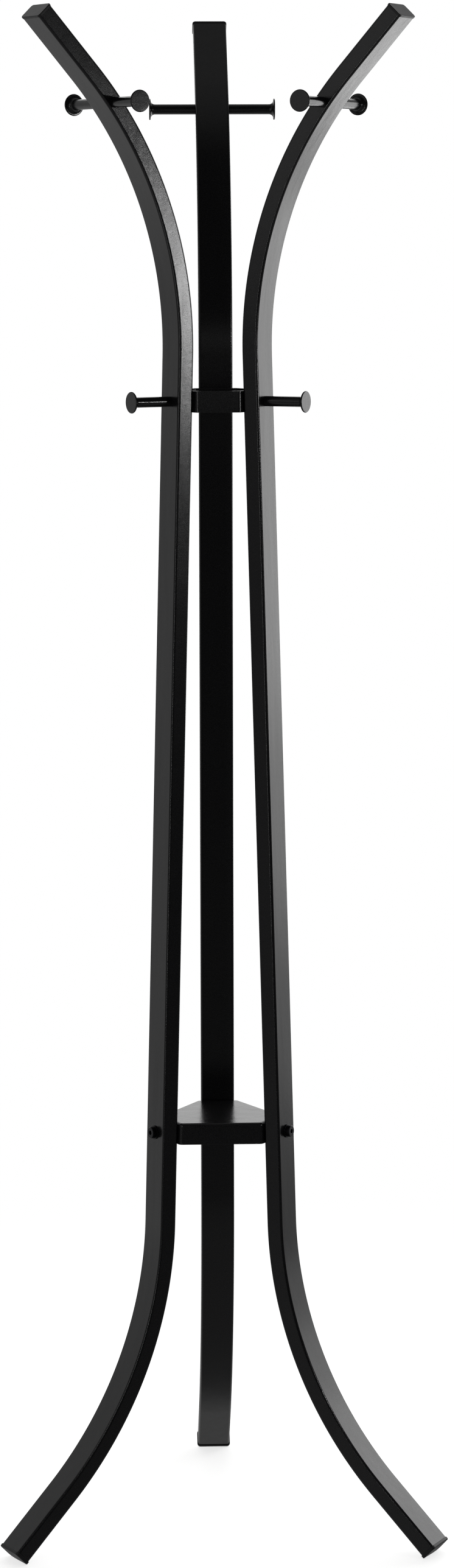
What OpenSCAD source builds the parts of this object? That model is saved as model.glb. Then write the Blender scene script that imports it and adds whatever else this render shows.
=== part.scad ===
// Standing coat rack: three bent rectangular tubes, tied by a ring and a tray, with round pegs.
// Origin on the rack's vertical axis at floor level, +Z up, rear leg towards +Y.

/* [Rack] */
// Height from the floor to the highest edge of the top caps
rack_h = 1800; // [1700:10:1900]
// Distance from the axis to the legs' centre lines at the waist
waist_r = 53; // [50:1:70]

/* [Leg tube] */
// Width of the tube, across the leg
tube_w = 40; // [36:1:46]
// Depth of the tube, in the plane of its bends
tube_d = 20; // [18:1:25]
// Wall thickness of the tube
tube_wall = 1.2; // [1:0.1:2]
// Outside corner radius of the tube
tube_corner = 3; // [2.5:0.5:4]
// Radius of both bends, at the centre line
bend_r = 450; // [400:10:480]
// Angle of the foot end, from vertical
foot_angle = 45.9; // [40:0.1:52]
// Angle of the top end, from vertical
top_angle = 43; // [38:1:48]
// Inward lean of the long straight between the bends
lean = 1.7; // [1:0.1:2.5]
// Straight length below the lower bend
foot_straight = 90; // [70:5:110]
// Straight length above the upper bend
top_straight = 90; // [70:5:110]

/* [End caps] */
// Thickness of a top cap's face
top_cap_t = 3; // [2:0.5:4]
// Overhang of a top cap round the tube
top_cap_lip = 0.6; // [0.3:0.1:1]
// Rounding of a top cap's rim
top_cap_rim = 0.8; // [0.5:0.1:0.9]
// Thickness of a foot cap's face at its rim
foot_cap_t = 4; // [3.5:0.5:6]
// Overhang of a foot cap round the tube
foot_cap_lip = 1; // [0.5:0.1:1.5]
// Rounding of a foot cap's rim
foot_cap_rim = 1.5; // [1:0.1:1.6]
// Bulge of a foot cap's face
foot_cap_bulge = 1.5; // [1:0.1:2]
// Length of a cap's plug inside the tube
plug_l = 14; // [10:1:20]

/* [Ring] */
// Height of the ring's middle above the floor
ring_z = 1353; // [1300:1:1380]
// Height of the ring's flat bar
ring_h = 25; // [20:1:30]
// Thickness of the ring's flat bar
ring_t = 3; // [2.5:0.5:4]
// Outside radius of the ring's bends
ring_bend = 6; // [5:0.5:8]

/* [Tray] */
// Height of the tray's top face above the floor
tray_top = 503.5; // [480:0.5:530]
// Height of the tray's skirt
tray_h = 25.5; // [24:0.5:32]
// Sheet thickness of the tray
tray_t = 2.5; // [2:0.5:3]
// Outside radius of the tray's upright corners
tray_corner = 5.5; // [5.5:0.5:7]
// Outside radius of the tray's top rim
tray_rim = 4; // [3.5:0.5:4.5]
// Distance from the axis to the skirt between two legs
tray_gap_a = 56.5; // [54:0.5:60]

/* [Pegs] */
// Diameter of a peg
peg_d = 12; // [12:1:16]
// Diameter of a peg's end disc
disc_d = 25; // [24:1:32]
// Thickness of a peg's end disc
disc_t = 2; // [1.5:0.5:3]
// Radius of the flare from the peg to its disc
flare_r = 5; // [3:0.5:5.5]
// Length of a top peg, from the tube to the end
top_peg_l = 55; // [45:1:80]
// Length of a ring peg, from the tube to the end
ring_peg_l = 52; // [45:1:80]
// Distance of the top pegs from the tube's end, along its centre line
top_peg_drop = 133; // [120:1:180]

/* [Fasteners] */
// Diameter of the studs and of the tray screws
stud_d = 8; // [6:1:8]
// Diameter of the holes in the tubes, the ring and the tray
hole_d = 8.6; // [8.4:0.1:9]
// Depth to which a stud screws into a peg
stud_grip = 15; // [12:1:20]
// Width across the flats of a weld nut
nut_af = 13; // [13:1:15]
// Height of a weld nut
nut_h = 6.5; // [5:0.5:7]
// Diameter of a tray screw's head
screw_head_d = 13.5; // [13:0.5:14]
// Height of a tray screw's head
screw_head_h = 5; // [4:0.5:6]
// Length of a tray screw under its head
screw_l = 35; // [33:1:40]
// Width across the flats of the screw's socket
socket_af = 5; // [4:1:6]
// Depth of the screw's socket
socket_depth = 3; // [2:0.5:3]
// Diameter of a tray washer
washer_d = 16; // [15:1:20]
// Thickness of a tray washer
washer_t = 1.6; // [1:0.2:2]

/* [Hidden] */
$fn = 64;
// Segments in a full turn of the long bends
bend_fn = 360;
// Flats in a full turn of the tube's rolled corners
tube_fn = 12;

SIDES = ["front_left", "front_right", "rear"];
SIDE_ANGLES = [210, 330, 90];
// The two sides of a leg, seen from outside the rack and facing the leg
HANDS = ["right", "left"];

STEEL = [0.10, 0.10, 0.11];
PLASTIC = [0.06, 0.06, 0.065];
SCREW = [0.16, 0.16, 0.17];
ZINC = [0.55, 0.56, 0.58];

// The leg's centre line, in the plane through the axis: radius and height of each change
foot_end_z = foot_cap_rim
    + (foot_cap_t - foot_cap_rim) * cos(foot_angle)
    + (tube_d / 2 + foot_cap_lip - foot_cap_rim) * sin(foot_angle);
low_bend_start_z = foot_end_z + foot_straight * cos(foot_angle);
low_bend_end_z = low_bend_start_z + bend_r * (sin(foot_angle) - sin(lean));
top_end_z = rack_h - top_cap_rim
    - (top_cap_t - top_cap_rim) * cos(top_angle)
    - (tube_d / 2 + top_cap_lip - top_cap_rim) * sin(top_angle);
high_bend_end_z = top_end_z - top_straight * cos(top_angle);
high_bend_start_z = high_bend_end_z - bend_r * (sin(top_angle) + sin(lean));
long_straight = (high_bend_start_z - low_bend_end_z) / cos(lean);

high_bend_start_r = waist_r + bend_r * (1 - cos(lean));
high_bend_end_r = high_bend_start_r + bend_r * (cos(lean) - cos(top_angle));
low_bend_end_r = high_bend_start_r + long_straight * sin(lean);
low_bend_start_r = low_bend_end_r + bend_r * (cos(lean) - cos(foot_angle));
foot_end_r = low_bend_start_r + foot_straight * sin(foot_angle);
top_end_r = high_bend_end_r + top_straight * sin(top_angle);

// Centre of the upper bend
high_centre_r = high_bend_start_r + bend_r * cos(lean);
high_centre_z = high_bend_start_z + bend_r * sin(lean);

// Place of the top pegs on the upper bend
top_peg_angle = top_angle - (top_peg_drop - top_straight) / bend_r * 180 / PI;
top_peg_r = high_centre_r - bend_r * cos(top_peg_angle);
top_peg_z = high_centre_z + bend_r * sin(top_peg_angle);

// Radius of the long straight's centre line, and of its two faces, at a height
function straight_r(z) = high_bend_start_r + (high_bend_start_z - z) * tan(lean);
function inner_face_r(z) = straight_r(z) - tube_d / 2 / cos(lean);
function outer_face_r(z) = straight_r(z) + tube_d / 2 / cos(lean);

ring_a = inner_face_r(ring_z - ring_h / 2);
tray_leg_a = inner_face_r(tray_top - tray_h);
screw_z = tray_top - tray_h / 2;

// Inside size of the tube
bore_w = tube_w - 2 * tube_wall;
bore_d = tube_d - 2 * tube_wall;
bore_corner = tube_corner - tube_wall;

// Larger than anything that a trimming box has to cover
beyond = 60;

// Directions in which the sides of a hexagon face: between two legs, then towards a leg
function hex_angle(i) = 30 + 60 * i;
function hex_normal(i) = [cos(hex_angle(i)), sin(hex_angle(i))];
function across(v) = [-v.y, v.x];

// Corners of a hexagon whose sides lie gap_a from the axis between legs and leg_a towards them
function hex_apothem(i, leg_a, gap_a) = i % 2 == 0 ? gap_a : leg_a;
function hex_corner(i, leg_a, gap_a) =
    let (a = hex_apothem(i, leg_a, gap_a), b = hex_apothem(i + 1, leg_a, gap_a))
    a * hex_normal(i) + (b - a * cos(60)) / sin(60) * across(hex_normal(i));

// Hexagon with rounded corners
module rounded_hex(leg_a, gap_a, r) {
    polygon([for (i = [0:5]) for (side = [i, i + 1])
        hex_corner(i, leg_a - r, gap_a - r) + r * hex_normal(side)]);
    for (i = [0:5])
        translate(hex_corner(i, leg_a - r, gap_a - r))
            circle(r);
}

// Straight bar along Y, reaching from -back to front, with its two top edges rounded
module round_topped_bar(back, front, r, h, length) {
    translate([0, length / 2, 0])
        rotate([90, 0, 0])
            linear_extrude(length) {
                translate([-back, 0])
                    square([back + front, h - r]);
                translate([r - back, 0])
                    square([back + front - 2 * r, h]);
                for (x = [r - back, front - r])
                    translate([x, h - r])
                        circle(r);
            }
}

// Hexagonal block with a rounded top rim and eased upright corners
module rounded_hex_block(leg_a, gap_a, corner, rim, h) {
    ease = 0.05;
    intersection() {
        intersection_for (i = [0:2])
            rotate(hex_angle(i))
                round_topped_bar(hex_apothem(i + 3, leg_a, gap_a), hex_apothem(i, leg_a, gap_a),
                                 rim, h, 4 * leg_a);
        linear_extrude(h)
            rounded_hex(leg_a + ease, gap_a + ease, corner);
    }
}

// Rectangle with rounded corners
module rounded_rect(x, y, r, corner_fn = $fn) {
    square([x - 2 * r, y], center = true);
    square([x, y - 2 * r], center = true);
    for (sx = [-1, 1], sy = [-1, 1])
        translate([sx * (x / 2 - r), sy * (y / 2 - r)])
            circle(r, $fn = corner_fn);
}

// Rectangular slab with rounded corners and a rounded top rim
module rounded_slab(x, y, corner, rim, t) {
    linear_extrude(t - rim)
        rounded_rect(x, y, corner);
    linear_extrude(t)
        rounded_rect(x - 2 * rim, y - 2 * rim, corner - rim);
    for (sx = [-1, 1], sy = [-1, 1])
        translate([sx * (x / 2 - corner), sy * (y / 2 - corner), t - rim])
            rotate_extrude()
                translate([corner - rim, 0])
                    circle(rim);
    for (s = [-1, 1]) {
        translate([s * (x / 2 - rim), 0, t - rim])
            rotate([90, 0, 0])
                cylinder(r = rim, h = y - 2 * corner, center = true);
        translate([0, s * (y / 2 - rim), t - rim])
            rotate([0, 90, 0])
                cylinder(r = rim, h = x - 2 * corner, center = true);
    }
}

// Cylinder with a chamfer at its far end
module chamfered(d, h, c) {
    cylinder(d = d, h = h - c);
    translate([0, 0, h - c])
        cylinder(d1 = d, d2 = d - 2 * c, h = c);
}

// A frame on the leg: +Z along the tube, +X out of its outer face
module on_leg(r, z, angle) {
    translate([r, 0, z])
        rotate([0, angle, 0])
            children();
}

// What follows a bend that starts at the origin and turns down and out by an angle
module after_bend(angle) {
    translate([bend_r, 0, 0])
        rotate([0, -angle, 0])
            translate([-bend_r, 0, 0])
                children();
}

// A bend from the origin, down and out, with a straight at its end. The bend is swept a little
// too far and trimmed in the straight's own frame, so that the two meet exactly.
module bent_end(angle, straight) {
    spare = 2;
    difference() {
        translate([bend_r, 0, 0])
            rotate([90, 0, 0])
                rotate(180)
                    rotate_extrude(angle = angle + spare, $fn = bend_fn)
                        translate([bend_r, 0])
                            children();
        after_bend(angle)
            translate([-beyond, -beyond, -2 * beyond])
                cube(2 * beyond);
    }
    after_bend(angle)
        translate([0, 0, -straight])
            linear_extrude(straight)
                children();
}

// Sweeps a flat section along the whole leg
module sweep_leg() {
    on_leg(low_bend_end_r, low_bend_end_z, -lean) {
        linear_extrude(long_straight)
            children();
        bent_end(foot_angle - lean, foot_straight)
            children();
        translate([0, 0, long_straight])
            mirror([0, 0, 1])
                bent_end(top_angle + lean, top_straight)
                    children();
    }
}

// Frames of the fasteners: at the top pegs, at the ring (level) and at the tray (square to the tube)
module at_top_pegs() {
    on_leg(top_peg_r, top_peg_z, top_peg_angle)
        children();
}

module at_ring(r) {
    translate([r, 0, ring_z])
        rotate([0, 90, 0])
            children();
}

module at_tray(x) {
    on_leg(straight_r(screw_z), screw_z, -lean)
        translate([x, 0, 0])
            rotate([0, 90, 0])
                children();
}

// Everything on the leg's side of a plane parallel to the tube's inner face
module leg_side(z, inset) {
    on_leg(straight_r(z), z, -lean)
        translate([-tube_d / 2 - inset, -beyond, -beyond])
            cube([tube_d, 2 * beyond, 2 * beyond]);
}

module leg() {
    color(STEEL)
        difference() {
            sweep_leg()
                rounded_rect(tube_d, tube_w, tube_corner, tube_fn);
            sweep_leg()
                rounded_rect(bore_d, bore_w, bore_corner, tube_fn);
            at_top_pegs()
                rotate([90, 0, 0])
                    cylinder(d = hole_d, h = 2 * tube_w, center = true);
            at_ring(straight_r(ring_z))
                cylinder(d = hole_d, h = 2 * tube_d, center = true);
            at_tray(0)
                cylinder(d = hole_d, h = 2 * tube_d, center = true);
        }
}

// Hollow plug with three grip fins, below a cap's face
module plug() {
    clearance = 0.4;
    plug_wall = 1.6;
    fin_t = 1.2;
    fins = 3;
    difference() {
        union() {
            translate([0, 0, -plug_l])
                linear_extrude(plug_l)
                    rounded_rect(bore_d - 2 * clearance, bore_w - 2 * clearance, bore_corner, tube_fn);
            for (i = [1:fins])
                translate([0, 0, -i * plug_l / (fins + 1)])
                    linear_extrude(fin_t)
                        rounded_rect(bore_d, bore_w, bore_corner, tube_fn);
        }
        translate([0, 0, -plug_l - 1])
            linear_extrude(plug_l)
                square([bore_d - 2 * (clearance + plug_wall), bore_w - 2 * (clearance + plug_wall)],
                       center = true);
    }
}

module top_cap() {
    color(PLASTIC)
        on_leg(top_end_r, top_end_z, top_angle) {
            rounded_slab(tube_d + 2 * top_cap_lip, tube_w + 2 * top_cap_lip,
                         tube_corner + top_cap_lip, top_cap_rim, top_cap_t);
            plug();
        }
}

// A cylinder lying along Y that meets the foot cap's face at half_w either side and bulges above it
module bulge_roll(half_w, length) {
    r = (half_w ^ 2 + foot_cap_bulge ^ 2) / (2 * foot_cap_bulge);
    translate([0, 0, foot_cap_t + foot_cap_bulge - r])
        rotate([90, 0, 0])
            cylinder(r = r, h = length, center = true, $fn = 4 * $fn);
}

module foot_cap() {
    face_d = tube_d + 2 * foot_cap_lip;
    face_w = tube_w + 2 * foot_cap_lip;
    corner = tube_corner + foot_cap_lip;
    flat_d = face_d - 2 * foot_cap_rim;
    flat_w = face_w - 2 * foot_cap_rim;
    color(PLASTIC)
        on_leg(foot_end_r, foot_end_z, -foot_angle)
            rotate([180, 0, 0]) {
                rounded_slab(face_d, face_w, corner, foot_cap_rim, foot_cap_t);
                intersection() {
                    linear_extrude(foot_cap_t + foot_cap_bulge)
                        rounded_rect(flat_d, flat_w, corner - foot_cap_rim);
                    bulge_roll(flat_d / 2, 2 * face_w);
                    rotate(90)
                        bulge_roll(flat_w / 2, 2 * face_w);
                }
                plug();
            }
}

// Flat bar bent to a hexagon, its outside dressed to the legs' lean
module ring() {
    color(STEEL)
        difference() {
            translate([0, 0, ring_z - ring_h / 2])
                linear_extrude(ring_h)
                    difference() {
                        rounded_hex(ring_a, ring_a, ring_bend);
                        rounded_hex(ring_a - ring_t, ring_a - ring_t, ring_bend - ring_t);
                    }
            for (angle = SIDE_ANGLES)
                rotate(angle) {
                    leg_side(ring_z, 0);
                    at_ring(ring_a)
                        cylinder(d = hole_d, h = 4 * ring_t, center = true);
                }
        }
}

// The tray's block, moved in from its outside by a given thickness
module tray_block(inset, h) {
    difference() {
        rounded_hex_block(tray_leg_a - inset, tray_gap_a - inset,
                          tray_corner - inset, tray_rim - inset, h);
        for (angle = SIDE_ANGLES)
            rotate(angle)
                translate([0, 0, tray_h - tray_top])
                    leg_side(screw_z, inset);
    }
}

// Pressed sheet tray, open underneath, its skirt leaning with the legs where they meet it
module tray() {
    color(STEEL)
        difference() {
            translate([0, 0, tray_top - tray_h])
                difference() {
                    tray_block(0, tray_h);
                    tray_block(tray_t, tray_h - tray_t);
                }
            for (angle = SIDE_ANGLES)
                rotate(angle)
                    at_tray(-tube_d / 2)
                        cylinder(d = hole_d, h = 4 * tray_t, center = true);
        }
}

// Half of a peg's outline, from its seat up to its disc
module peg_outline(l) {
    disc_z = l - disc_t;
    square([peg_d / 2, l]);
    translate([0, disc_z])
        square([(disc_d - disc_t) / 2, disc_t]);
    translate([(disc_d - disc_t) / 2, disc_z + disc_t / 2])
        circle(d = disc_t);
    difference() {
        translate([peg_d / 2, disc_z - flare_r])
            square(flare_r);
        translate([peg_d / 2 + flare_r, disc_z - flare_r])
            circle(flare_r);
    }
}

// Turned peg along +Z with a blind bore for its stud
module peg(l) {
    difference() {
        rotate_extrude()
            peg_outline(l);
        translate([0, 0, -1])
            cylinder(d = stud_d, h = stud_grip + 3);
    }
}

module top_peg() {
    color(STEEL)
        at_top_pegs()
            rotate([-90, 0, 0])
                translate([0, 0, tube_w / 2])
                    peg(top_peg_l);
}

// The ring peg is level, so its seat is trimmed to the leaning face of the tube
module ring_peg() {
    seat_slack = 1;
    color(STEEL)
        difference() {
            at_ring(outer_face_r(ring_z) - seat_slack)
                peg(ring_peg_l + seat_slack);
            leg_side(ring_z, 0);
        }
}

// Threaded rod along +Z with chamfered ends
module stud(l) {
    end_chamfer = 1;
    for (flip = [0, 1])
        translate([0, 0, l / 2])
            mirror([0, 0, flip])
                chamfered(stud_d, l / 2, end_chamfer);
}

module top_stud() {
    stud_l = tube_w + 2 * stud_grip;
    color(ZINC)
        at_top_pegs()
            rotate([90, 0, 0])
                translate([0, 0, -stud_l / 2])
                    stud(stud_l);
}

module ring_stud() {
    past_nut = 1.5;
    start_r = ring_a - ring_t - nut_h - past_nut;
    color(ZINC)
        at_ring(start_r)
            stud(outer_face_r(ring_z) + stud_grip - start_r);
}

// Hexagonal weld nut along +Z from its seat
module nut() {
    chamfer = 0.8;
    difference() {
        intersection() {
            cylinder(d = nut_af / cos(30), h = nut_h, $fn = 6);
            chamfered(nut_af / cos(30), nut_h, chamfer);
        }
        translate([0, 0, -1])
            cylinder(d = stud_d, h = nut_h + 2);
    }
}

module ring_nut() {
    color(ZINC)
        at_ring(ring_a - ring_t)
            mirror([0, 0, 1])
                nut();
}

module tray_nut() {
    color(ZINC)
        at_tray(-tube_d / 2 - tray_t)
            mirror([0, 0, 1])
                nut();
}

module tray_washer() {
    color(SCREW)
        at_tray(tube_d / 2)
            difference() {
                cylinder(d = washer_d, h = washer_t);
                translate([0, 0, -1])
                    cylinder(d = hole_d, h = washer_t + 2);
            }
}

// Low cap-head screw with a hexagon socket
module tray_screw() {
    head_chamfer = 0.8;
    tip_chamfer = 1;
    color(SCREW)
        at_tray(tube_d / 2 + washer_t)
            difference() {
                union() {
                    chamfered(screw_head_d, screw_head_h, head_chamfer);
                    mirror([0, 0, 1])
                        chamfered(stud_d, screw_l, tip_chamfer);
                }
                translate([0, 0, screw_head_h - socket_depth])
                    cylinder(d = socket_af / cos(30), h = socket_depth + 1, $fn = 6);
            }
}

ring();
tray();

for (i = [0:2]) rotate(SIDE_ANGLES[i]) {
    leg();
    top_cap();
    foot_cap();
    top_stud();
    ring_peg();
    ring_stud();
    ring_nut();
    tray_screw();
    tray_washer();
    tray_nut();
    for (h = [0:1])
        mirror([0, h, 0]) top_peg();
}
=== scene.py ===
import math

import bmesh
import bpy
from mathutils import Matrix, Vector


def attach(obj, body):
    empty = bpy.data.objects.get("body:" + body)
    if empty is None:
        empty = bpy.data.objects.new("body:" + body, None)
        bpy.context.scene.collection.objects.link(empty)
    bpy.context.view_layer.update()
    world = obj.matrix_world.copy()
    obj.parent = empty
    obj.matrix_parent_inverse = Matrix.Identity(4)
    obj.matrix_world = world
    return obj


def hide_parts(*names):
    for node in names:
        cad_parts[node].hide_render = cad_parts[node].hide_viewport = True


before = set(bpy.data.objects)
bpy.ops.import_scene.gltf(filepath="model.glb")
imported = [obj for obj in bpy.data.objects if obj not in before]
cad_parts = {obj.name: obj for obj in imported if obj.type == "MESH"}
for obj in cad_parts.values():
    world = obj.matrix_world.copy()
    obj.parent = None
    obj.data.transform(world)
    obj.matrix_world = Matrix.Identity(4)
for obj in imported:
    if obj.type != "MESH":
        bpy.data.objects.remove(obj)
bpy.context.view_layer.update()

# A standing coat rack: three bent rectangular steel tubes, tied by a ring and a tray, with turned
# pegs. Everything is in metres, on the rack's own axis, with the floor at z = 0. A leg is modelled
# pointing along +X and is then turned to its side.

MM = 0.001
# below this, a difference between two lengths is only rounding
HAIR = 1e-7
# half of the angle that one side of a hexagon spans
HALF_SIDE = math.radians(30)
SIDES = {"front_left": 210, "front_right": 330, "rear": 90}
HANDS = {"right": -90, "left": 90}

# ------------------------------------------------------------------ sizes

RACK_H = 1800 * MM
WAIST_R = 53 * MM

TUBE_W, TUBE_D, TUBE_WALL, TUBE_CORNER = 40 * MM, 20 * MM, 1.2 * MM, 3 * MM
BEND_R = 450 * MM
FOOT_ANGLE, TOP_ANGLE, LEAN = math.radians(45.9), math.radians(43), math.radians(1.7)
END_STRAIGHT = 90 * MM
CORNER_STEPS = 6
STRAIGHT_STEPS = 14
# with 48 steps in a bend, none runs along the edge of a drilled hole, which would leave it open
BEND_STEPS = 48

TOP_CAP_T, TOP_CAP_LIP, TOP_CAP_RIM = 3 * MM, 0.6 * MM, 0.8 * MM
TOP_CAP_SEAM, TOP_CAP_BAND = 0.6 * MM, 0.9 * MM
FOOT_CAP_T, FOOT_CAP_LIP, FOOT_CAP_RIM, FOOT_CAP_BULGE = 4 * MM, 1 * MM, 1.5 * MM, 1.5 * MM
CAP_EASE = 0.2 * MM
PLUG_L, PLUG_GAP, PLUG_WALL, PLUG_FLOOR = 14 * MM, 0.4 * MM, 1.6 * MM, 1 * MM
FINS, FIN_T, FIN_REACH = 3, 1.2 * MM, 0.36 * MM

RING_Z, RING_H, RING_T, RING_BEND = 1353 * MM, 25 * MM, 3 * MM, 6 * MM
TRAY_TOP, TRAY_H, TRAY_T, TRAY_CORNER, TRAY_RIM = 503.5 * MM, 25.5 * MM, 2.5 * MM, 5.5 * MM, 4 * MM
# from the axis to the tray's three sides between the legs
TRAY_GAP_A = 56.5 * MM

PEG_D, DISC_D, DISC_T, FLARE_R = 12 * MM, 25 * MM, 2 * MM, 5 * MM
TOP_PEG_L, RING_PEG_L, TOP_PEG_DROP = 55 * MM, 52 * MM, 133 * MM

STUD_D, HOLE_D, STUD_GRIP = 8 * MM, 8.6 * MM, 15 * MM
# plain length at a stud's two tips together, bore beyond its end, and stud beyond its nut
STUD_TIPS, BORE_SPARE, STUD_PROUD = 2 * MM, 2 * MM, 1.5 * MM
THREAD_PITCH = 1.25 * MM
THREAD_DEPTH = 0.55 * THREAD_PITCH
CREST_START, CREST_END = 0.42 * THREAD_PITCH, 0.58 * THREAD_PITCH
NUT_AF, NUT_H, NUT_CHAMFER = 13 * MM, 6.5 * MM, 0.8 * MM
HEAD_D, HEAD_H, HEAD_ROUND, HEAD_SEAT = 13.5 * MM, 5 * MM, 0.8 * MM, 0.3 * MM
SCREW_L, SOCKET_AF, SOCKET_DEPTH, SOCKET_CHAMFER = 35 * MM, 5 * MM, 3 * MM, 0.25 * MM
WASHER_D, WASHER_T = 16 * MM, 1.6 * MM

# The leg's centre line, in its own plane: radius and height of each change
foot_end_z = (
    FOOT_CAP_RIM
    + (FOOT_CAP_T - FOOT_CAP_RIM) * math.cos(FOOT_ANGLE)
    + (TUBE_D / 2 + FOOT_CAP_LIP - FOOT_CAP_RIM) * math.sin(FOOT_ANGLE)
)
low_start_z = foot_end_z + END_STRAIGHT * math.cos(FOOT_ANGLE)
low_end_z = low_start_z + BEND_R * (math.sin(FOOT_ANGLE) - math.sin(LEAN))
top_end_z = (
    RACK_H
    - TOP_CAP_RIM
    - (TOP_CAP_T - TOP_CAP_RIM) * math.cos(TOP_ANGLE)
    - (TUBE_D / 2 + TOP_CAP_LIP - TOP_CAP_RIM) * math.sin(TOP_ANGLE)
)
high_end_z = top_end_z - END_STRAIGHT * math.cos(TOP_ANGLE)
high_start_z = high_end_z - BEND_R * (math.sin(TOP_ANGLE) + math.sin(LEAN))
long_straight = (high_start_z - low_end_z) / math.cos(LEAN)

high_start_r = WAIST_R + BEND_R * (1 - math.cos(LEAN))
high_end_r = high_start_r + BEND_R * (math.cos(LEAN) - math.cos(TOP_ANGLE))
low_end_r = high_start_r + long_straight * math.sin(LEAN)
low_start_r = low_end_r + BEND_R * (math.cos(LEAN) - math.cos(FOOT_ANGLE))
foot_end_r = low_start_r + END_STRAIGHT * math.sin(FOOT_ANGLE)
top_end_r = high_end_r + END_STRAIGHT * math.sin(TOP_ANGLE)

bend_out, bend_up = BEND_R * math.cos(LEAN), BEND_R * math.sin(LEAN)
high_centre = Vector((high_start_r + bend_out, 0, high_start_z + bend_up))
low_centre = Vector((low_end_r + bend_out, 0, low_end_z + bend_up))

top_peg_angle = TOP_ANGLE - (TOP_PEG_DROP - END_STRAIGHT) / BEND_R
top_peg_r = high_centre.x - BEND_R * math.cos(top_peg_angle)
top_peg_z = high_centre.z + BEND_R * math.sin(top_peg_angle)
screw_z = TRAY_TOP - TRAY_H / 2


def straight_r(z):
    """Radius of the long straight's centre line at a height"""
    return high_start_r + (high_start_z - z) * math.tan(LEAN)


def face_r(z, side):
    """Radius of the long straight's outer (side 1) or inner (side -1) face at a height"""
    return straight_r(z) + side * TUBE_D / 2 / math.cos(LEAN)


# From the axis to the legs' inner faces, at the lower edges of the ring and the tray
ring_a = face_r(RING_Z - RING_H / 2, -1)
tray_leg_a = face_r(TRAY_TOP - TRAY_H, -1)


# ------------------------------------------------------------------ working by hand

def begin(add, **how):
    """Adds a primitive with nothing else selected"""
    bpy.ops.object.select_all(action="DESELECT")
    add(**how)
    return bpy.context.object


def hold(piece):
    """Makes a piece the only one selected, and the active one"""
    bpy.ops.object.select_all(action="DESELECT")
    piece.select_set(True)
    bpy.context.view_layer.objects.active = piece


def edit():
    bpy.ops.object.mode_set(mode="EDIT")


def leave():
    bpy.ops.object.mode_set(mode="OBJECT")


def settle(piece):
    """Moves a piece's place, turn and size into its mesh"""
    hold(piece)
    bpy.ops.object.transform_apply(location=True, rotation=True, scale=True)


def middle(part):
    if isinstance(part, bmesh.types.BMVert):
        return part.co
    if isinstance(part, bmesh.types.BMEdge):
        return (part.verts[0].co + part.verts[1].co) / 2
    return part.calc_center_median()


def choose(kind, test):
    """In edit mode, selects only the verts, edges or faces that pass a test"""
    bpy.ops.mesh.select_mode(type={"verts": "VERT", "edges": "EDGE", "faces": "FACE"}[kind])
    bpy.ops.mesh.select_all(action="DESELECT")
    mesh = bpy.context.object.data
    shape = bmesh.from_edit_mesh(mesh)
    for part in getattr(shape, kind):
        if test(part):
            part.select_set(True)
    shape.select_flush_mode()
    bmesh.update_edit_mesh(mesh)


def near(a, b, slack=1e-5):
    return abs(a - b) < slack


def level(z):
    """A test for what lies flat at a height"""
    def test(part):
        return all(near(v.co.z, z) for v in getattr(part, "verts", [part]))
    return test


def upright(edge):
    a, b = (v.co for v in edge.verts)
    return near(a.x, b.x) and near(a.y, b.y) and not near(a.z, b.z)


def faces_down(face):
    return face.normal.z < -0.9


def lies_flat(face):
    return abs(face.normal.z) > 0.9


def push(by):
    """Extrudes what is selected by a vector"""
    bpy.ops.mesh.extrude_region_move(TRANSFORM_OT_translate={"value": by})


def tidy_normals():
    """Merges doubles and turns every face outwards"""
    bpy.ops.mesh.select_all(action="SELECT")
    bpy.ops.mesh.remove_doubles(threshold=1e-6)
    bpy.ops.mesh.normals_make_consistent(inside=False)


def modify(piece, kind, **settings):
    """Adds a modifier and applies it"""
    hold(piece)
    modifier = piece.modifiers.new(kind.title(), kind)
    for name, value in settings.items():
        setattr(modifier, name, value)
    bpy.ops.object.modifier_apply(modifier=modifier.name)


def ease(piece, width, segments=2, angle=30):
    """Rounds a piece's sharp edges"""
    modify(piece, "BEVEL", width=width, segments=segments, limit_method="ANGLE",
           angle_limit=math.radians(angle), use_clamp_overlap=True)


def shade(piece, angle=32):
    """Smooth shading that keeps flats flat"""
    hold(piece)
    bpy.ops.object.shade_smooth_by_angle(angle=math.radians(angle))
    modify(piece, "WEIGHTED_NORMAL", keep_sharp=True, weight=50)


def cut(piece, cutter):
    """Takes a cutter out of a piece"""
    modify(piece, "BOOLEAN", object=cutter, operation="DIFFERENCE", solver="EXACT")
    bpy.data.objects.remove(cutter, do_unlink=True)


def turn_about(axis, degrees):
    return Matrix.Rotation(math.radians(degrees), 4, axis)


def shift(x, y, z):
    return Matrix.Translation((x, y, z))


def side_turn(side):
    """Turns a piece from +X to one of the three legs"""
    return turn_about("Z", SIDES[side])


def on_leg(r, z, angle):
    """A place on the leg, its +Z along the tube and its +X out of the outer face"""
    return shift(r, 0, z) @ Matrix.Rotation(angle, 4, "Y")


def stand_on_leg(piece, r, z, angle):
    piece.matrix_world = on_leg(r, z, angle) @ piece.matrix_world
    settle(piece)


def drill(axis, length, place):
    """A drill bit in a place, its length along that place's X or Y"""
    bit = begin(bpy.ops.mesh.primitive_cylinder_add, vertices=32, radius=HOLE_D / 2, depth=length)
    bit.matrix_world = place @ turn_about({"X": "Y", "Y": "X"}[axis], 90)
    settle(bit)
    return bit


# ------------------------------------------------------------------ leg

def rounded_section(width, depth, corner):
    """A flat rectangle with rounded corners, at the origin"""
    section = begin(bpy.ops.mesh.primitive_plane_add, size=1)
    section.scale = (depth, width, 1)
    settle(section)
    edit()
    bpy.ops.mesh.select_all(action="SELECT")
    bpy.ops.mesh.bevel(offset=corner, offset_type="OFFSET", segments=CORNER_STEPS, affect="VERTICES")
    leave()
    return section


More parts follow.
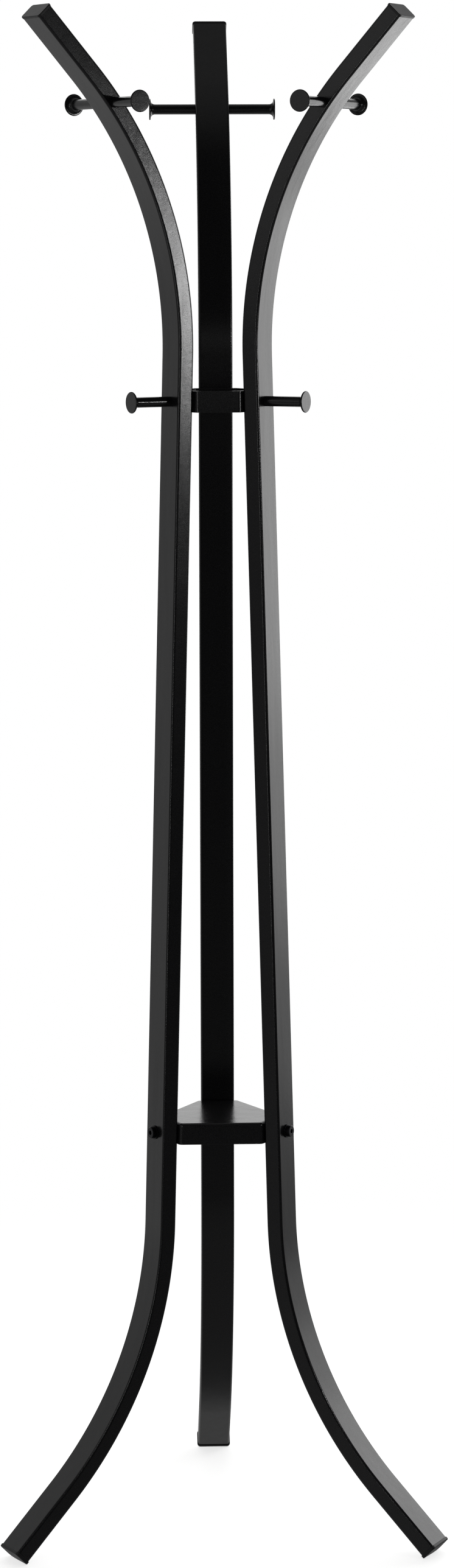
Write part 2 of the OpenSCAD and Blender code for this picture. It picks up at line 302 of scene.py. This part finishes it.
def sweep_round(centre, turn):
    """Spins the selected loop about a bend's centre, in the leg's plane"""
    bpy.ops.mesh.spin(steps=BEND_STEPS, angle=-turn, center=centre, axis=(0, 1, 0))


def make_leg():
    """The tube, drawn from its foot end upwards round both bends, then walled and drilled"""
    leg = rounded_section(TUBE_W, TUBE_D, TUBE_CORNER)
    stand_on_leg(leg, foot_end_r, foot_end_z, -FOOT_ANGLE)
    edit()
    bpy.ops.mesh.select_all(action="SELECT")
    bpy.ops.mesh.delete(type="ONLY_FACE")
    bpy.ops.mesh.select_mode(type="EDGE")
    bpy.ops.mesh.select_all(action="SELECT")
    push(Vector((-math.sin(FOOT_ANGLE), 0, math.cos(FOOT_ANGLE))) * END_STRAIGHT)
    sweep_round(low_centre, FOOT_ANGLE - LEAN)
    for _ in range(STRAIGHT_STEPS):
        push(Vector((-math.sin(LEAN), 0, math.cos(LEAN))) * long_straight / STRAIGHT_STEPS)
    sweep_round(high_centre, TOP_ANGLE + LEAN)
    push(Vector((math.sin(TOP_ANGLE), 0, math.cos(TOP_ANGLE))) * END_STRAIGHT)
    tidy_normals()
    leave()
    modify(leg, "SOLIDIFY", thickness=TUBE_WALL, offset=-1, use_even_offset=True)
    cut(leg, drill("Y", 2 * TUBE_W, on_leg(top_peg_r, top_peg_z, top_peg_angle)))
    cut(leg, drill("X", 2 * TUBE_D, on_leg(straight_r(RING_Z), RING_Z, 0)))
    cut(leg, drill("X", 2 * TUBE_D, on_leg(straight_r(screw_z), screw_z, -LEAN)))
    shade(leg)
    return leg


# ------------------------------------------------------------------ end caps

def add_plug():
    """In edit mode, draws a hollow plug with grip fins out of a cap's underside"""
    choose("faces", lambda f: level(0)(f) and faces_down(f))
    bpy.ops.mesh.inset(thickness=TUBE_WALL + PLUG_GAP, depth=0)
    fin_ends = [-i * PLUG_L / (FINS + 1) for i in range(1, FINS + 1)]
    start = 0
    for fin_end in fin_ends:
        push((0, 0, fin_end + FIN_T - start))
        push((0, 0, -FIN_T))
        start = fin_end
    push((0, 0, -PLUG_L - start))
    bpy.ops.mesh.inset(thickness=PLUG_WALL, depth=0)
    push((0, 0, PLUG_L - PLUG_FLOOR))
    for fin_end in fin_ends:
        choose("faces", lambda f: near(middle(f).z, fin_end + FIN_T / 2, FIN_T / 4))
        bpy.ops.mesh.extrude_region_shrink_fatten(TRANSFORM_OT_shrink_fatten={"value": FIN_REACH})


def cap_slab(lip, thick, rim):
    """The face of a cap: a slab with rounded corners and a rounded rim, standing on z = 0"""
    slab = rounded_section(TUBE_W + 2 * lip, TUBE_D + 2 * lip, TUBE_CORNER + lip)
    edit()
    bpy.ops.mesh.select_mode(type="FACE")
    bpy.ops.mesh.select_all(action="SELECT")
    push((0, 0, thick))
    tidy_normals()
    choose("edges", level(thick))
    bpy.ops.mesh.bevel(offset=rim, segments=4, affect="EDGES")
    choose("edges", level(0))
    bpy.ops.mesh.bevel(offset=CAP_EASE, segments=2, affect="EDGES")
    return slab


def crown(half_x, half_y, base, rise):
    """Raises the face at a height as a soft pillow: cut into rows both ways, lifted, and each row let
    down again towards the rim"""
    rows = [(axis, half * i / 6) for axis, half in ((0, half_x), (1, half_y)) for i in range(-5, 6)]
    for axis, at in rows:
        choose("faces", level(base))
        bpy.ops.mesh.bisect(plane_co=[at * (axis == i) for i in range(3)],
                            plane_no=[float(axis == i) for i in range(3)])
    choose("verts", lambda v: all(level(base)(f) for f in v.link_faces))
    bpy.ops.transform.translate(value=(0, 0, rise))
    for axis, at in rows:
        choose("verts", lambda v: v.co.z > base + HAIR and near(v.co[axis], at))
        share = 1 - (at / (half_x, half_y)[axis]) ** 2
        bpy.ops.transform.resize(value=(1, 1, share), center_override=(0, 0, base))


def make_top_cap():
    """A thin cap. Its outer band stops a little short of the tube and leaves a dark seam round it"""
    cap = cap_slab(TOP_CAP_LIP, TOP_CAP_T - TOP_CAP_SEAM, TOP_CAP_RIM)
    choose("faces", faces_down)
    bpy.ops.mesh.inset(thickness=TOP_CAP_BAND, depth=0)
    bpy.ops.mesh.select_all(action="SELECT")
    bpy.ops.transform.translate(value=(0, 0, TOP_CAP_SEAM))
    choose("faces", lambda f: faces_down(f) and f.calc_area() > TUBE_D * TUBE_W / 2)
    push((0, 0, -TOP_CAP_SEAM))
    add_plug()
    leave()
    shade(cap)
    stand_on_leg(cap, top_end_r, top_end_z, TOP_ANGLE)
    return cap


def make_foot_cap():
    """A thicker cap with a bulged face. The rack stands on its lower rim"""
    cap = cap_slab(FOOT_CAP_LIP, FOOT_CAP_T, FOOT_CAP_RIM)
    flat = FOOT_CAP_LIP - FOOT_CAP_RIM
    crown(TUBE_D / 2 + flat, TUBE_W / 2 + flat, FOOT_CAP_T, FOOT_CAP_BULGE)
    choose("faces", faces_down)
    bpy.ops.mesh.inset(thickness=FOOT_CAP_LIP - CAP_EASE, depth=0)
    add_plug()
    leave()
    shade(cap, 40)
    cap.matrix_world = turn_about("X", 180)
    stand_on_leg(cap, foot_end_r, foot_end_z, -FOOT_ANGLE)
    return cap


# ------------------------------------------------------------------ ring and tray

def plane_off(point, out):
    """In edit mode, planes a piece back to a point and closes it there"""
    bpy.ops.mesh.select_all(action="SELECT")
    bpy.ops.mesh.bisect(plane_co=point, plane_no=out, use_fill=True, clear_outer=True)


def lean_to_legs(z):
    """In edit mode, planes a piece back to the inner faces of the three leaning tubes"""
    for side in SIDES:
        turn = side_turn(side).to_3x3()
        plane_off(turn @ Vector((face_r(z, -1), 0, z)),
                  turn @ Vector((math.cos(LEAN), 0, math.sin(LEAN))))


def six_sided(apothem, height, z):
    """An upright hexagonal block whose flats face the legs and the gaps between them"""
    block = begin(bpy.ops.mesh.primitive_cylinder_add, vertices=6, depth=height,
                  radius=apothem / math.cos(HALF_SIDE), location=(0, 0, z),
                  rotation=(0, 0, HALF_SIDE))
    settle(block)
    return block


def make_ring():
    """Flat bar bent to a hexagon, its three seats planed to the lean of the legs"""
    ring = six_sided(ring_a, RING_H, RING_Z)
    edit()
    choose("edges", upright)
    bpy.ops.mesh.bevel(offset=RING_BEND * math.tan(HALF_SIDE), segments=8, affect="EDGES")
    choose("faces", lies_flat)
    bpy.ops.mesh.inset(thickness=RING_T, depth=0)
    bpy.ops.mesh.bridge_edge_loops()
    tidy_normals()
    lean_to_legs(RING_Z)
    leave()
    for side in SIDES:
        cut(ring, drill("X", 6 * RING_T, side_turn(side) @ on_leg(ring_a, RING_Z, 0)))
    ease(ring, width=0.5 * MM, segments=3, angle=50)
    shade(ring)
    return ring


def make_tray():
    """Pressed sheet: a flat hexagonal top with a turned-down skirt, open underneath"""
    tray = six_sided(tray_leg_a, TRAY_H, TRAY_TOP - TRAY_H / 2)
    edit()
    for angle in SIDES.values():
        out = turn_about("Z", angle + 180).to_3x3() @ Vector((1, 0, 0))
        plane_off(out * TRAY_GAP_A, out)
    lean_to_legs(screw_z)
    tidy_normals()
    choose("faces", level(TRAY_TOP - TRAY_H))
    bpy.ops.mesh.delete(type="FACE")
    choose("edges", lambda e: not near(e.verts[0].co.z, e.verts[1].co.z))
    bpy.ops.mesh.bevel(offset=TRAY_CORNER * math.tan(HALF_SIDE), segments=8, affect="EDGES")
    choose("edges", lambda e: level(TRAY_TOP)(e) and not all(lies_flat(f) for f in e.link_faces))
    bpy.ops.mesh.bevel(offset=TRAY_RIM, segments=8, affect="EDGES")
    tidy_normals()
    leave()
    modify(tray, "SOLIDIFY", thickness=TRAY_T, offset=-1, use_even_offset=True)
    for side in SIDES:
        place = side_turn(side) @ on_leg(straight_r(screw_z), screw_z, -LEAN)
        cut(tray, drill("X", 5 * TRAY_T, place @ shift(-TUBE_D / 2, 0, 0)))
    ease(tray, width=0.35 * MM, segments=2, angle=50)
    shade(tray)
    return tray


# ------------------------------------------------------------------ pegs

def make_peg(length):
    """A turned peg along +Z: plain shank, hollow flare and thin round disc, bored for its stud"""
    peg = begin(bpy.ops.mesh.primitive_circle_add, vertices=64, radius=PEG_D / 2, fill_type="NGON")
    flare_z = length - DISC_T - FLARE_R
    outline = [(PEG_D / 2, flare_z * i / 4) for i in range(1, 5)]
    outline += [
        (PEG_D / 2 + FLARE_R * (1 - math.cos(a)), flare_z + FLARE_R * math.sin(a))
        for a in (math.radians(90) * i / 10 for i in range(1, 11))
    ]
    rim = DISC_T / 2
    outline += [(DISC_D / 2 - rim, length - DISC_T)]
    outline += [
        (DISC_D / 2 - rim + rim * math.cos(a), length - rim + rim * math.sin(a))
        for a in (math.radians(-90 + 20 * i) for i in range(1, 10))
    ]
    edit()
    bpy.ops.mesh.select_mode(type="FACE")
    bpy.ops.mesh.select_all(action="SELECT")
    radius, height = PEG_D / 2, 0
    for r, z in outline:
        push((0, 0, z - height))
        bpy.ops.transform.resize(value=(r / radius, r / radius, 1))
        radius, height = r, z
    # two rings in the disc's face keep its shading even
    for ring_width in (0.45 * radius, 4 * MM):
        bpy.ops.mesh.inset(thickness=ring_width, depth=0)
    choose("faces", level(0))
    bpy.ops.mesh.inset(thickness=(PEG_D - STUD_D) / 2, depth=0)
    push((0, 0, STUD_GRIP + BORE_SPARE))
    tidy_normals()
    leave()
    return peg


def make_top_peg():
    peg = make_peg(TOP_PEG_L)
    shade(peg, 40)
    return peg


def make_ring_peg():
    """A peg that points straight out, its foot cut to the lean of the tube"""
    slack = 1 * MM
    peg = make_peg(RING_PEG_L + slack)
    peg.matrix_world = turn_about("Y", 90)
    stand_on_leg(peg, face_r(RING_Z, 1) - slack, RING_Z, 0)
    edit()
    bpy.ops.mesh.select_all(action="SELECT")
    bpy.ops.mesh.bisect(plane_co=(face_r(RING_Z, 1), 0, RING_Z),
                        plane_no=(math.cos(LEAN), 0, math.sin(LEAN)), clear_inner=True)
    bpy.ops.mesh.select_all(action="SELECT")
    bpy.ops.mesh.region_to_loop()
    bpy.ops.mesh.bridge_edge_loops()
    tidy_normals()
    leave()
    shade(peg, 40)
    return peg


# ------------------------------------------------------------------ fasteners

def make_stud(length):
    """Threaded rod along +Z from the origin: a ridge and a root for each turn, plain ends"""
    root = STUD_D / 2 - THREAD_DEPTH
    turns = int((length - STUD_TIPS) / THREAD_PITCH)
    rod = begin(bpy.ops.mesh.primitive_circle_add, vertices=32, radius=root, fill_type="NGON")
    edit()
    bpy.ops.mesh.select_mode(type="FACE")
    bpy.ops.mesh.select_all(action="SELECT")
    lead = (length - turns * THREAD_PITCH) / 2
    outline = [(root, lead)]
    for i in range(turns):
        z = lead + i * THREAD_PITCH
        outline += [(STUD_D / 2, z + CREST_START), (STUD_D / 2, z + CREST_END)]
        outline += [(root, z + THREAD_PITCH)]
    outline += [(root, length)]
    radius, height = root, 0
    for r, z in outline:
        push((0, 0, z - height))
        if not near(r, radius, HAIR):
            bpy.ops.transform.resize(value=(r / radius, r / radius, 1))
        radius, height = r, z
    tidy_normals()
    leave()
    return rod


def make_top_stud():
    length = TUBE_W + 2 * STUD_GRIP
    stud = make_stud(length)
    stud.matrix_world = turn_about("X", 90) @ shift(0, 0, -length / 2)
    stand_on_leg(stud, top_peg_r, top_peg_z, top_peg_angle)
    shade(stud)
    return stud


def make_ring_stud():
    start_r = ring_a - RING_T - NUT_H - STUD_PROUD
    stud = make_stud(face_r(RING_Z, 1) + STUD_GRIP - start_r)
    stud.matrix_world = turn_about("Y", 90)
    stand_on_leg(stud, start_r, RING_Z, 0)
    shade(stud)
    return stud


def make_nut():
    """Hexagon weld nut along +Z from its seat, its corners turned off at the far face"""
    corner_r = NUT_AF / 2 / math.cos(HALF_SIDE)
    nut = begin(bpy.ops.mesh.primitive_cylinder_add, vertices=6, radius=corner_r, depth=NUT_H,
                location=(0, 0, NUT_H / 2), rotation=(0, 0, HALF_SIDE))
    settle(nut)
    turned = begin(bpy.ops.mesh.primitive_cylinder_add, vertices=64, radius=corner_r + 0.01 * MM,
                   depth=NUT_H, location=(0, 0, NUT_H / 2))
    settle(turned)
    edit()
    choose("edges", level(NUT_H))
    bpy.ops.mesh.bevel(offset=NUT_CHAMFER, segments=1, affect="EDGES")
    leave()
    modify(nut, "BOOLEAN", object=turned, operation="INTERSECT", solver="EXACT")
    bpy.data.objects.remove(turned, do_unlink=True)
    bore = begin(bpy.ops.mesh.primitive_cylinder_add, vertices=32, radius=STUD_D / 2, depth=4 * NUT_H)
    cut(nut, bore)
    ease(nut, width=0.15 * MM, segments=2, angle=40)
    return nut


def make_ring_nut():
    nut = make_nut()
    nut.matrix_world = turn_about("Y", -90)
    stand_on_leg(nut, ring_a - RING_T, RING_Z, 0)
    shade(nut)
    return nut


def make_tray_nut():
    nut = make_nut()
    nut.matrix_world = shift(-TUBE_D / 2 - TRAY_T, 0, 0) @ turn_about("Y", -90)
    stand_on_leg(nut, straight_r(screw_z), screw_z, -LEAN)
    shade(nut)
    return nut


def at_tray(piece, out):
    """Sets a piece across the leg at the tray's screw, its +Z outwards"""
    piece.matrix_world = shift(out, 0, 0) @ turn_about("Y", 90)
    stand_on_leg(piece, straight_r(screw_z), screw_z, -LEAN)


def make_washer():
    washer = begin(bpy.ops.mesh.primitive_circle_add, vertices=64, radius=WASHER_D / 2,
                   fill_type="NGON")
    edit()
    bpy.ops.mesh.select_mode(type="FACE")
    bpy.ops.mesh.select_all(action="SELECT")
    push((0, 0, WASHER_T))
    choose("faces", lies_flat)
    bpy.ops.mesh.inset(thickness=(WASHER_D - HOLE_D) / 2, depth=0)
    bpy.ops.mesh.bridge_edge_loops()
    tidy_normals()
    leave()
    ease(washer, width=0.3 * MM, segments=3, angle=50)
    at_tray(washer, TUBE_D / 2)
    shade(washer)
    return washer


def make_screw():
    """Low cap-head screw: round head with a hexagon socket, and a threaded shank behind it"""
    screw = begin(bpy.ops.mesh.primitive_cylinder_add, vertices=64, radius=HEAD_D / 2, depth=HEAD_H,
                  location=(0, 0, HEAD_H / 2))
    settle(screw)
    edit()
    choose("edges", level(HEAD_H))
    bpy.ops.mesh.bevel(offset=HEAD_ROUND, segments=4, affect="EDGES")
    choose("edges", level(0))
    bpy.ops.mesh.bevel(offset=HEAD_SEAT, segments=2, affect="EDGES")
    leave()
    socket = begin(bpy.ops.mesh.primitive_cylinder_add, vertices=6, depth=2 * SOCKET_DEPTH,
                   radius=SOCKET_AF / 2 / math.cos(HALF_SIDE), location=(0, 0, HEAD_H))
    cut(screw, socket)
    edit()
    choose("edges", lambda e: level(HEAD_H)(e) and middle(e).xy.length < SOCKET_AF * 0.7)
    bpy.ops.mesh.bevel(offset=SOCKET_CHAMFER, segments=1, affect="EDGES")
    leave()
    overlap = 1 * MM
    shank = make_stud(SCREW_L + overlap)
    shank.matrix_world = shift(0, 0, -SCREW_L)
    settle(shank)
    modify(screw, "BOOLEAN", object=shank, operation="UNION", solver="EXACT")
    bpy.data.objects.remove(shank, do_unlink=True)
    at_tray(screw, TUBE_D / 2 + WASHER_T)
    shade(screw)
    return screw


# ------------------------------------------------------------------ finishes

def linear(hex_colour):
    """A hex colour in linear light"""
    parts = [int(hex_colour[i:i + 2], 16) / 255 for i in (1, 3, 5)]
    return [*(p / 12.92 if p <= 0.04045 else ((p + 0.055) / 1.055) ** 2.4 for p in parts), 1]


def put(tree, kind, inputs=None, **settings):
    """Adds a node. Each input is a value, or an output of another node to link from"""
    node = tree.nodes.new(kind)
    for name, value in settings.items():
        setattr(node, name, value)
    for name, value in (inputs or {}).items():
        socket = node.inputs[name]
        if isinstance(value, bpy.types.NodeSocket):
            tree.links.new(value, socket)
        else:
            socket.default_value = value
    return node


def new_finish(name):
    finish = bpy.data.materials.new(name)
    finish.use_nodes = True
    finish.node_tree.nodes.clear()
    return finish, finish.node_tree


def speckle(tree, place, size, detail, roughness):
    """Noise with features of a size in millimetres, as coordinates are in metres"""
    return put(tree, "ShaderNodeTexNoise", {
        "Vector": place, "Scale": 1 / (size * MM), "Detail": detail, "Roughness": roughness,
    }).outputs["Fac"]


def number_between(tree, factor, low, high):
    return put(tree, "ShaderNodeMapRange", {
        "Value": factor, "To Min": low, "To Max": high,
    }).outputs["Result"]


def colour_between(tree, factor, low, high):
    return put(tree, "ShaderNodeMix", {
        "Factor": factor, "A": low, "B": high,
    }, data_type="RGBA").outputs["Result"]


def relief(tree, height, strength, depth, over=None):
    """A bump of a depth in millimetres, laid over the normal of a coarser one"""
    bump = {"Height": height, "Strength": strength, "Distance": depth * MM}
    if over:
        bump["Normal"] = over
    return put(tree, "ShaderNodeBump", bump).outputs["Normal"]


def close_finish(tree, surface):
    """Ends a finish in its surface shader"""
    shader = put(tree, "ShaderNodeBsdfPrincipled", surface)
    put(tree, "ShaderNodeOutputMaterial", {"Surface": shader.outputs["BSDF"]})


def powder_coated_steel():
    """Satin black fine-texture powder coat on steel tube: a pebbled film with greyer specks, which
    breaks highlights up into fine grain. Under it are a slow ripple left by the melt and the long
    shallow waves of drawn tube"""
    finish, tree = new_finish("powder_coated_steel")
    place = put(tree, "ShaderNodeTexCoord").outputs["Object"]
    # the film's real pebbles are 0.2 to 0.4 mm across, drawn at 0.7 mm so that they show
    pebble = speckle(tree, place, 0.7, detail=3, roughness=0.6)
    ripple = speckle(tree, place, 6, detail=2, roughness=0.5)
    # waves six times longer than wide, along the legs
    along = put(tree, "ShaderNodeMapping", {"Vector": place, "Scale": (1, 1, 0.16)}).outputs["Vector"]
    wave = speckle(tree, along, 22, detail=2, roughness=0.5)
    patch = speckle(tree, place, 60, detail=3, roughness=0.55)
    tone = colour_between(tree, patch, linear("#050505"), linear("#0a0a0b"))
    speck = put(tree, "ShaderNodeMapRange", {
        "Value": pebble, "From Min": 0.42, "From Max": 0.62,
    }).outputs["Result"]
    drawn = relief(tree, wave, 1.0, 0.3)
    slow = relief(tree, ripple, 0.5, 0.08, over=drawn)
    close_finish(tree, {
        "Base Color": colour_between(tree, speck, tone, linear("#242426")),
        "Roughness": number_between(tree, patch, 0.17, 0.23),
        "IOR": 1.52,
        "Normal": relief(tree, pebble, 0.8, 0.045, over=slow),
    })
    return finish


def moulded_plastic():
    """Black polyethylene end cap, moulded in a spark-eroded tool: an even matt face with the tool's
    fine stipple"""
    finish, tree = new_finish("moulded_plastic")
    place = put(tree, "ShaderNodeTexCoord").outputs["Object"]
    # the stipple is 0.1 to 0.2 mm, drawn at 0.6 mm so that it shows
    stipple = speckle(tree, place, 0.6, detail=2, roughness=0.5)
    flow = speckle(tree, place, 18, detail=2, roughness=0.5)
    close_finish(tree, {
        "Base Color": colour_between(tree, flow, linear("#101011"), linear("#161617")),
        "Roughness": number_between(tree, flow, 0.42, 0.52),
        "IOR": 1.51,
        "Normal": relief(tree, stipple, 0.5, 0.04),
    })
    return finish


def black_oxide_steel():
    """Black-oxide screws and washers: a thin dark conversion layer that still shines like metal"""
    finish, tree = new_finish("black_oxide_steel")
    place = put(tree, "ShaderNodeTexCoord").outputs["Object"]
    bloom = speckle(tree, place, 3, detail=4, roughness=0.6)
    # the surface's real grain is under 0.1 mm, drawn at 0.5 mm so that it shows
    grain = speckle(tree, place, 0.5, detail=2, roughness=0.5)
    close_finish(tree, {
        "Base Color": colour_between(tree, bloom, linear("#1d1d20"), linear("#2b2b2e")),
        "Metallic": 0.85,
        "Roughness": number_between(tree, bloom, 0.30, 0.42),
        "Normal": relief(tree, grain, 0.3, 0.02),
    })
    return finish


def zinc_plated_steel():
    """Bright zinc plate on studs and weld nuts: pale metal, a little cloudy, with a faint blue cast"""
    finish, tree = new_finish("zinc_plated_steel")
    place = put(tree, "ShaderNodeTexCoord").outputs["Object"]
    cloud = speckle(tree, place, 4, detail=4, roughness=0.6)
    # the plate's real grain is under 0.1 mm, drawn at 0.4 mm so that it shows
    grain = speckle(tree, place, 0.4, detail=2, roughness=0.5)
    close_finish(tree, {
        "Base Color": colour_between(tree, cloud, linear("#a9afb6"), linear("#c6c8c6")),
        "Metallic": 1.0,
        "Roughness": number_between(tree, cloud, 0.26, 0.40),
        "Normal": relief(tree, grain, 0.25, 0.02),
    })
    return finish


FINISHES = {make.__name__: make() for make in
            (powder_coated_steel, moulded_plastic, black_oxide_steel, zinc_plated_steel)}


# ------------------------------------------------------------------ putting the rack together

def finish_piece(piece, node, slot):
    """Names a piece for the CAD node that it stands for, and gives it its finish"""
    piece.name = piece.data.name = "shown_" + node
    piece.data.materials.clear()
    piece.data.materials.append(FINISHES[slot])
    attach(piece, "root")
    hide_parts(node)


def copy_of(model, place):
    """A copy with its own mesh, its place moved into the mesh"""
    copy = model.copy()
    copy.data = model.data.copy()
    bpy.context.collection.objects.link(copy)
    copy.matrix_world = place
    settle(copy)
    return copy


def one_on_each_leg(model, kind, slot):
    for side in SIDES:
        finish_piece(copy_of(model, side_turn(side)), kind + "_" + side, slot)
    bpy.data.objects.remove(model, do_unlink=True)


one_on_each_leg(make_leg(), "leg", "powder_coated_steel")
one_on_each_leg(make_top_cap(), "top_cap", "moulded_plastic")
one_on_each_leg(make_foot_cap(), "foot_cap", "moulded_plastic")
one_on_each_leg(make_ring_peg(), "ring_peg", "powder_coated_steel")
one_on_each_leg(make_top_stud(), "top_stud", "zinc_plated_steel")
one_on_each_leg(make_ring_stud(), "ring_stud", "zinc_plated_steel")
one_on_each_leg(make_ring_nut(), "ring_nut", "zinc_plated_steel")
one_on_each_leg(make_tray_nut(), "tray_nut", "zinc_plated_steel")
one_on_each_leg(make_washer(), "tray_washer", "black_oxide_steel")
one_on_each_leg(make_screw(), "tray_screw", "black_oxide_steel")
finish_piece(make_ring(), "ring", "powder_coated_steel")
finish_piece(make_tray(), "tray", "powder_coated_steel")

top_peg = make_top_peg()
for side in SIDES:
    for hand, angle in HANDS.items():
        place = (side_turn(side) @ on_leg(top_peg_r, top_peg_z, top_peg_angle)
                 @ turn_about("X", angle) @ shift(0, 0, TUBE_W / 2))
        finish_piece(copy_of(top_peg, place), "top_peg_%s_%s" % (side, hand), "powder_coated_steel")
bpy.data.objects.remove(top_peg, do_unlink=True)


# ------------------------------------------------------------------ studio

FLOOR_R = 8
LIGHT_REACH = 2.6
# upright lights: azimuth from +Y towards +X in degrees, lowest and highest point, width, radiance
LIGHTS = {
    "softbox_right": (56, 0.75, 2.3, 1.3, 2.2),
    "softbox_right_middle": (56, 0.35, 0.75, 1.3, 1.2),
    "softbox_right_low": (56, 0.0, 0.35, 1.3, 0.45),
    "softbox_back_right": (33, 0.30, 1.1, 0.9, 2.4),
    "strip_front_right": (118.6, 1.38, 1.52, 0.20, 72),
    "softbox_front": (171, 1.3, 1.5, 1.2, 0.3),
    "strip_front_left": (-152, 0.2, 2.2, 0.12, 6),
    "softbox_front_left": (-122, 1.50, 2.40, 1.2, 0.35),
}


def white_floor():
    """A plain white floor that fades into the white of the studio. Gloss on the rack doesn't show it:
    the room's own light stands in for it there"""
    floor = begin(bpy.ops.mesh.primitive_circle_add, vertices=96, radius=FLOOR_R, fill_type="NGON")
    floor.name = "floor"
    finish, tree = new_finish("floor_white")
    place = put(tree, "ShaderNodeTexCoord").outputs["Object"]
    reach = put(tree, "ShaderNodeVectorMath", {0: place}, operation="LENGTH").outputs["Value"]
    fade = put(tree, "ShaderNodeMapRange", {"Value": reach, "From Min": 0.35, "From Max": 1.6},
               interpolation_type="SMOOTHSTEP").outputs["Result"]
    lit = put(tree, "ShaderNodeBsdfPrincipled", {
        "Base Color": linear("#f4f4f3"), "Roughness": 0.7,
        "Emission Color": linear("#ffffff"), "Emission Strength": 0.72})
    far = put(tree, "ShaderNodeEmission", {"Color": linear("#ffffff"), "Strength": 1.0})
    both = put(tree, "ShaderNodeMixShader",
               {0: fade, 1: lit.outputs["BSDF"], 2: far.outputs["Emission"]})
    put(tree, "ShaderNodeOutputMaterial", {"Surface": both.outputs["Shader"]})
    floor.data.materials.append(finish)
    floor.visible_glossy = False
    floor.visible_diffuse = False


def softbox(name, azimuth, low, high, width, radiance):
    """An upright softbox that faces the rack's axis, from one height to another"""
    az = math.radians(azimuth)
    out = Vector((math.sin(az), math.cos(az), 0))
    light = bpy.data.lights.new(name, "AREA")
    light.shape, light.size, light.size_y = "RECTANGLE", width, high - low
    light.energy = radiance * math.pi * width * (high - low)
    lamp = bpy.data.objects.new(name, light)
    lamp.location = out * LIGHT_REACH + Vector((0, 0, (low + high) / 2))
    lamp.rotation_euler = out.to_track_quat("Z", "Y").to_euler()
    lamp.visible_camera = False
    bpy.context.scene.collection.objects.link(lamp)


def step_up(tree, value, start, end, rise):
    """Zero before start, and a smooth climb to rise at end"""
    return put(tree, "ShaderNodeMapRange", {
        "Value": value, "From Min": start, "From Max": end, "To Max": rise,
    }, interpolation_type="SMOOTHSTEP").outputs["Result"]


def white_studio():
    """White to the camera all round. To the rack it is a room with a white backdrop behind and a dark
    side in front, as in a studio"""
    world = bpy.data.worlds.new("studio")
    world.use_nodes = True
    tree = world.node_tree
    tree.nodes.clear()
    towards = put(tree, "ShaderNodeTexCoord").outputs["Generated"]
    way = put(tree, "ShaderNodeSeparateXYZ", {0: towards}).outputs
    behind = put(tree, "ShaderNodeVectorMath", {0: towards, 1: (0.0, 0.95, 0.3)},
                 operation="DOT_PRODUCT").outputs["Value"]
    back_half = step_up(tree, way["Y"], -0.05, 0.45, 0.27)
    backdrop = step_up(tree, behind, 0.80, 0.97, 0.95)
    left_wall = step_up(tree, way["X"], -0.2, -0.8, 0.12)
    ground = step_up(tree, way["Z"], -0.15, -0.45, 0.12)
    ceiling = step_up(tree, way["Z"], 0.85, 1.0, 0.16)
    glow = 0.035
    for part in (back_half, backdrop, left_wall, ground, ceiling):
        glow = put(tree, "ShaderNodeMath", {0: part, 1: glow}, operation="ADD").outputs["Value"]
    seen = put(tree, "ShaderNodeLightPath").outputs["Is Camera Ray"]
    room = put(tree, "ShaderNodeBackground", {"Color": linear("#ffffff"), "Strength": glow})
    white = put(tree, "ShaderNodeBackground", {"Color": linear("#ffffff"), "Strength": 1.0})
    both = put(tree, "ShaderNodeMixShader", {0: seen, 1: room.outputs[0], 2: white.outputs[0]})
    put(tree, "ShaderNodeOutputWorld", {"Surface": both.outputs["Shader"]})
    bpy.context.scene.world = world


def aim_camera():
    """A long lens a little below the rack's top, looking slightly down"""
    turn, pan = math.radians(-1.875), math.radians(-0.13)
    pitch, roll = math.radians(8.047), math.radians(-0.19)
    distance, height = 4.4997, 1.5371
    az = turn + pan
    look = Vector((-math.sin(az) * math.cos(pitch), math.cos(az) * math.cos(pitch), -math.sin(pitch)))
    right = Vector((math.cos(az), math.sin(az), 0))
    up = right.cross(look)
    right, up = (math.cos(roll) * right + math.sin(roll) * up,
                 math.cos(roll) * up - math.sin(roll) * right)
    camera = bpy.data.cameras.new("camera")
    camera.sensor_width = 36
    camera.lens = 88.21537
    camera.clip_end = 50
    shot = bpy.data.objects.new("camera", camera)
    shot.matrix_world = Matrix((
        (right.x, up.x, -look.x, distance * math.sin(turn)),
        (right.y, up.y, -look.y, -distance * math.cos(turn)),
        (right.z, up.z, -look.z, height),
        (0, 0, 0, 1),
    ))
    bpy.context.scene.collection.objects.link(shot)
    bpy.context.scene.camera = shot


white_floor()
white_studio()
for name, box in LIGHTS.items():
    softbox(name, *box)
aim_camera()
bpy.context.scene.view_settings.view_transform = "Standard"
